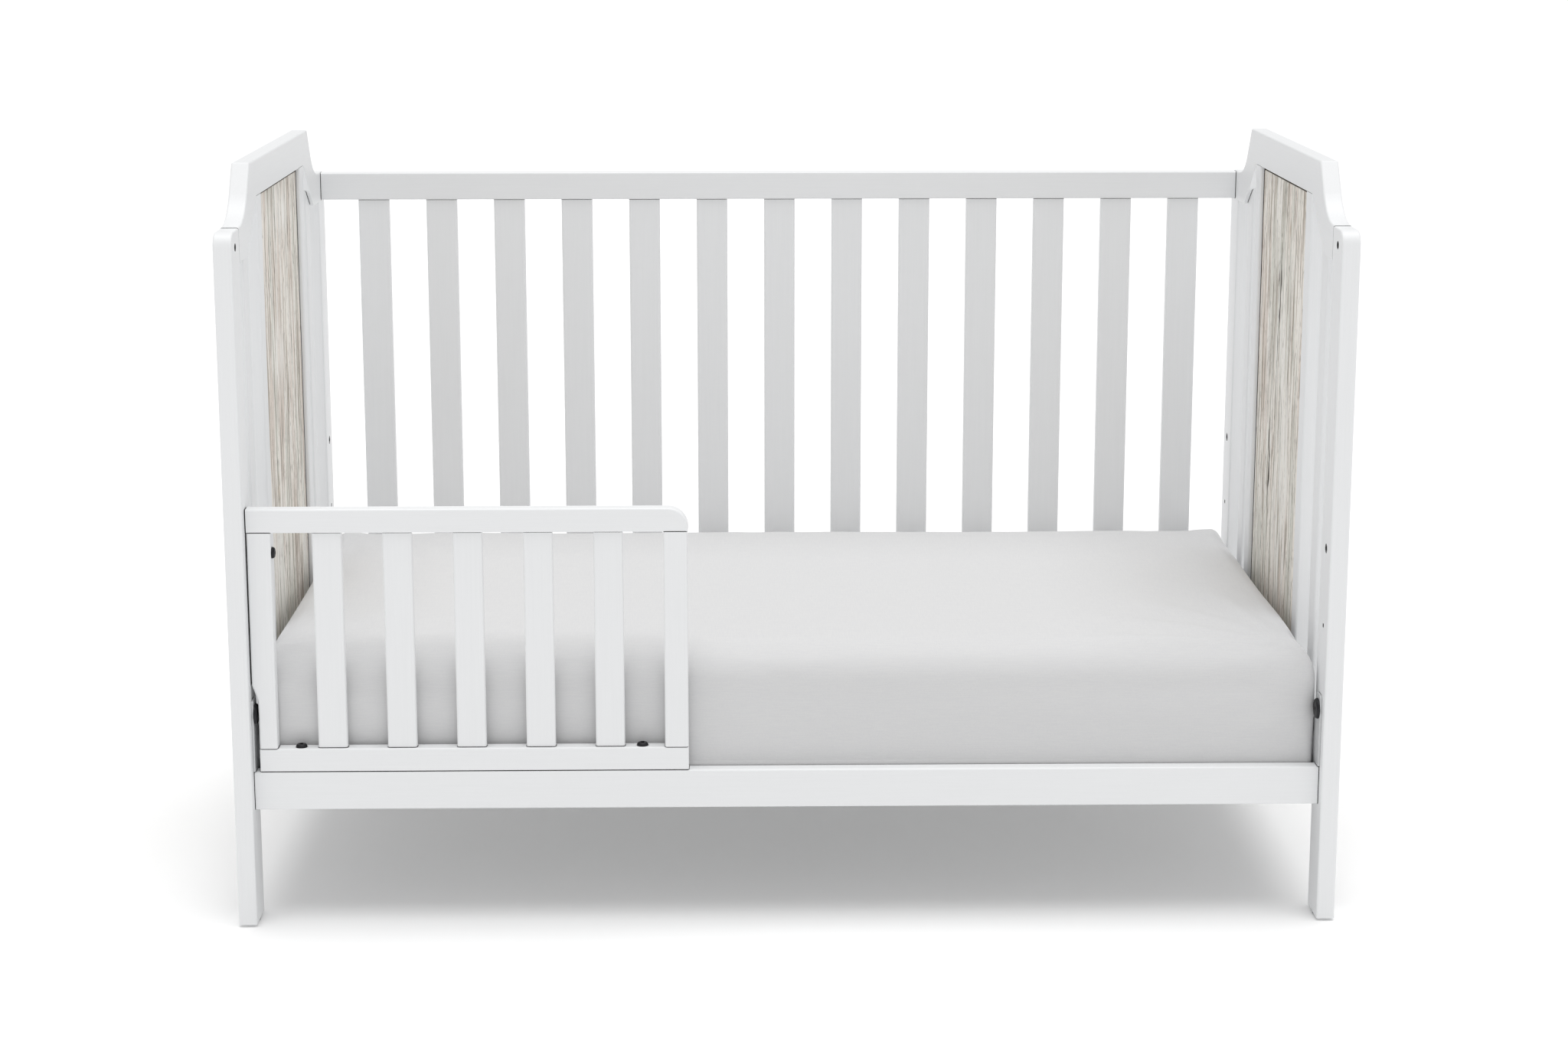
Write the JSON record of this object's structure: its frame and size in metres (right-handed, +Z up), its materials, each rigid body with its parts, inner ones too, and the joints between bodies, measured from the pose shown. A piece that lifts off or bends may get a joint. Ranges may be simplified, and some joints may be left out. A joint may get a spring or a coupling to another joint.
{
  "type": "toddler bed",
  "caption": "Toddler bed made from a cot: white end panels with rustic wood infill, slatted back, short slatted guard rail, lower front rail, steel support and a sheeted mattress.",
  "frame": {"origin": "on the floor under the centre of the bed's bounding box", "axes": "+X along the bed to the right seen from the open front, +Y from the open front to the slatted back, +Z up"},
  "size_m": [1.386, 0.762, 0.951],
  "materials": {
    "white_paint": "satin white enamel",
    "rustic_wood": "weathered grey-beige rustic wood",
    "support_steel": "grey powder coat",
    "support_wire": "zinc-plated wire",
    "black_hardware": "black oxide",
    "zinc_hardware": "zinc plated",
    "glide_plastic": "black moulded plastic",
    "mattress_cover": "quilted ticking over foam",
    "sheet_cotton": "smooth light grey cotton"
  },
  "bodies": {
    "bed_frame": {"left_front_post": "white_paint", "left_front_stile": "white_paint", "left_front_slat": "white_paint", "left_rear_post": "white_paint", "left_rear_stile": "white_paint", "left_rear_slat": "white_paint", "right_front_post": "white_paint", "right_front_stile": "white_paint", "right_front_slat": "white_paint", "right_rear_post": "white_paint", "right_rear_stile": "white_paint", "right_rear_slat": "white_paint", "left_crest_rail": "white_paint", "left_bottom_rail": "white_paint", "right_crest_rail": "white_paint", "right_bottom_rail": "white_paint", "back_top_rail": "white_paint", "back_bottom_rail": "white_paint", "back_slat_01": "white_paint", "back_slat_02": "white_paint", "back_slat_03": "white_paint", "back_slat_04": "white_paint", "back_slat_05": "white_paint", "back_slat_06": "white_paint", "back_slat_07": "white_paint", "back_slat_08": "white_paint", "back_slat_09": "white_paint", "back_slat_10": "white_paint", "back_slat_11": "white_paint", "back_slat_12": "white_paint", "back_slat_13": "white_paint", "front_lower_rail": "white_paint", "guard_top_rail": "white_paint", "guard_bottom_rail": "white_paint", "guard_left_stile": "white_paint", "guard_right_stile": "white_paint", "guard_slat_1": "white_paint", "guard_slat_2": "white_paint", "guard_slat_3": "white_paint", "guard_slat_4": "white_paint", "guard_slat_5": "white_paint", "left_wood_panel": "rustic_wood", "right_wood_panel": "rustic_wood", "support_front_angle": "support_steel", "support_rear_angle": "support_steel", "support_left_angle": "support_steel", "support_right_angle": "support_steel", "mattress_hangers": "support_steel", "support_wires": "support_wire", "support_springs": "support_wire", "panel_bolts": "black_hardware", "threaded_inserts": "black_hardware", "hanger_bolts": "black_hardware", "guard_bolts": "black_hardware", "guard_side_bolt": "black_hardware", "guard_washer": "black_hardware", "barrel_nuts": "zinc_hardware", "floor_glides": "glide_plastic"},
    "loose_mattress": {"mattress": "mattress_cover", "fitted_sheet": "sheet_cotton"}
  },
  "joints": [
    {"name": "mattress_lift", "type": "slide", "parent": "bed_frame", "child": "loose_mattress", "axis": [0, 0, 1], "range_m": [0, 0.78]}
  ]
}
